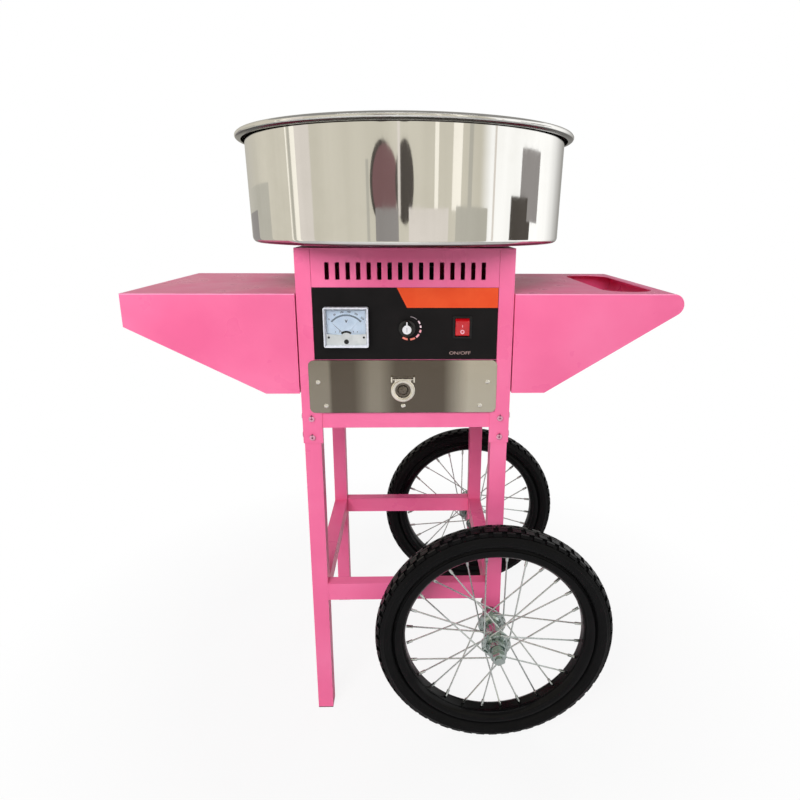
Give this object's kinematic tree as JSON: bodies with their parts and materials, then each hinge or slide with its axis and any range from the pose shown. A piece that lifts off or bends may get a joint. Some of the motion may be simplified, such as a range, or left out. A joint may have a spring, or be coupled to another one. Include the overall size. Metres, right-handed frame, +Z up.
{
  "type": "cotton candy machine",
  "caption": "Electric cotton candy machine: a steel bowl with a spinning head on a cabinet with a drawer and side shelves, carried by a cart frame on legs and spoked wheels.",
  "frame": {"origin": "on the ground under the middle of the cabinet, which is the middle of the machine's box", "axes": "+X to the user's right, towards the wheels; +Y to the back; +Z up"},
  "size_m": [0.804, 0.549, 0.939],
  "materials": {
    "pink_paint": "gloss powder coat",
    "bowl_steel": "polished",
    "drawer_steel": "brushed",
    "bright_steel": "bright plated",
    "zinc_sheet": "zinc plated",
    "black_paint": "gloss",
    "plate_print": "satin",
    "tyre_rubber": "moulded",
    "black_plastic": "satin",
    "red_plastic": "gloss",
    "meter_plastic": "satin",
    "dial_card": "printed",
    "needle_aluminium": "painted black",
    "clear_cover": "clear",
    "head_aluminium": "machined",
    "band_steel": "perforated sheet",
    "heater_wire": "resistance ribbon",
    "ring_brass": "turned",
    "motor_paint": "satin",
    "rotor_iron": "laminated",
    "black_rubber": "moulded"
  },
  "bodies": {
    "cart": {"front_left_leg": "pink_paint", "back_left_leg": "pink_paint", "front_right_leg": "pink_paint", "back_right_leg": "pink_paint", "foot_plugs": "black_rubber", "upper_cross_rails": "pink_paint", "upper_side_rails": "pink_paint", "lower_front_rail": "pink_paint", "lower_back_rail": "pink_paint", "lower_side_rails": "pink_paint", "frame_bolts": "bright_steel", "front_posts": "pink_paint", "back_posts": "pink_paint", "front_panel": "pink_paint", "side_panels": "pink_paint", "back_panel": "pink_paint", "cabinet_floor": "zinc_sheet", "cabinet_top": "pink_paint", "power_inlet": "black_plastic", "control_plate": "plate_print", "meter_case": "meter_plastic", "meter_dial": "dial_card", "meter_cover": "clear_cover", "heat_regulator": "black_plastic", "switch_body": "black_plastic", "drawer_runners": "zinc_sheet", "left_shelf": "pink_paint", "right_shelf": "pink_paint", "shelf_bolts": "bright_steel", "axles": "bright_steel", "axle_nuts": "bright_steel", "bowl_cushion": "black_rubber", "brush_block": "black_plastic", "motor_housing": "motor_paint", "motor_bearings": "bright_steel", "motor_mounts": "black_rubber"},
    "front_wheel": {"front_tyre": "tyre_rubber", "front_rim": "black_paint", "front_spokes": "bright_steel", "front_hub": "bright_steel"},
    "back_wheel": {"back_tyre": "tyre_rubber", "back_rim": "black_paint", "back_spokes": "bright_steel", "back_hub": "bright_steel"},
    "spinner": {"head_dish": "head_aluminium", "head_cover": "head_aluminium", "floss_band": "band_steel", "heating_element": "heater_wire", "spindle": "bright_steel", "slip_rings": "ring_brass", "motor_rotor": "rotor_iron"},
    "bowl": {"bowl": "bowl_steel"},
    "drawer": {"drawer_front": "drawer_steel", "drawer_tray": "zinc_sheet", "drawer_rivets": "bright_steel", "pull_base": "bright_steel"},
    "pull_ring": {"pull_ring": "bright_steel"},
    "heat_knob": {"heat_knob": "black_plastic"},
    "switch_rocker": {"switch_rocker": "red_plastic"},
    "meter_needle": {"meter_needle": "needle_aluminium"}
  },
  "joints": [
    {"name": "front_wheel_spin", "type": "hinge", "parent": "cart", "child": "front_wheel", "pos_m": [0.137, -0.213, 0.187], "axis": [0, 1, 0], "continuous": true},
    {"name": "back_wheel_spin", "type": "hinge", "parent": "cart", "child": "back_wheel", "pos_m": [0.137, 0.213, 0.187], "axis": [0, 1, 0], "continuous": true},
    {"name": "spinner_spin", "type": "hinge", "parent": "cart", "child": "spinner", "pos_m": [0, 0, 0.82], "axis": [0, 0, 1], "continuous": true},
    {"name": "bowl_lift", "type": "slide", "parent": "cart", "child": "bowl", "axis": [0, 0, 1], "range_m": [0, 0.25]},
    {"name": "drawer_slide", "type": "slide", "parent": "cart", "child": "drawer", "axis": [0, -1, 0], "range_m": [0, 0.2]},
    {"name": "pull_ring_lift", "type": "hinge", "parent": "drawer", "child": "pull_ring", "pos_m": [-0.0044, -0.1679, 0.59], "axis": [-1, 0, 0], "range_deg": [0, 100]},
    {"name": "heat_knob_turn", "type": "hinge", "parent": "cart", "child": "heat_knob", "pos_m": [0.0019, -0.1633, 0.6655], "axis": [0, 1, 0], "range_deg": [0, 210]},
    {"name": "switch_rocker_tip", "type": "hinge", "parent": "cart", "child": "switch_rocker", "pos_m": [0.0816, -0.16, 0.6666], "axis": [-1, 0, 0], "range_deg": [0, 14]},
    {"name": "meter_needle_swing", "type": "hinge", "parent": "cart", "child": "meter_needle", "pos_m": [-0.0847, -0.1667, 0.6535], "axis": [0, 1, 0], "range_deg": [0, 90], "stiffness_Nm_per_rad": 0.0003}
  ]
}
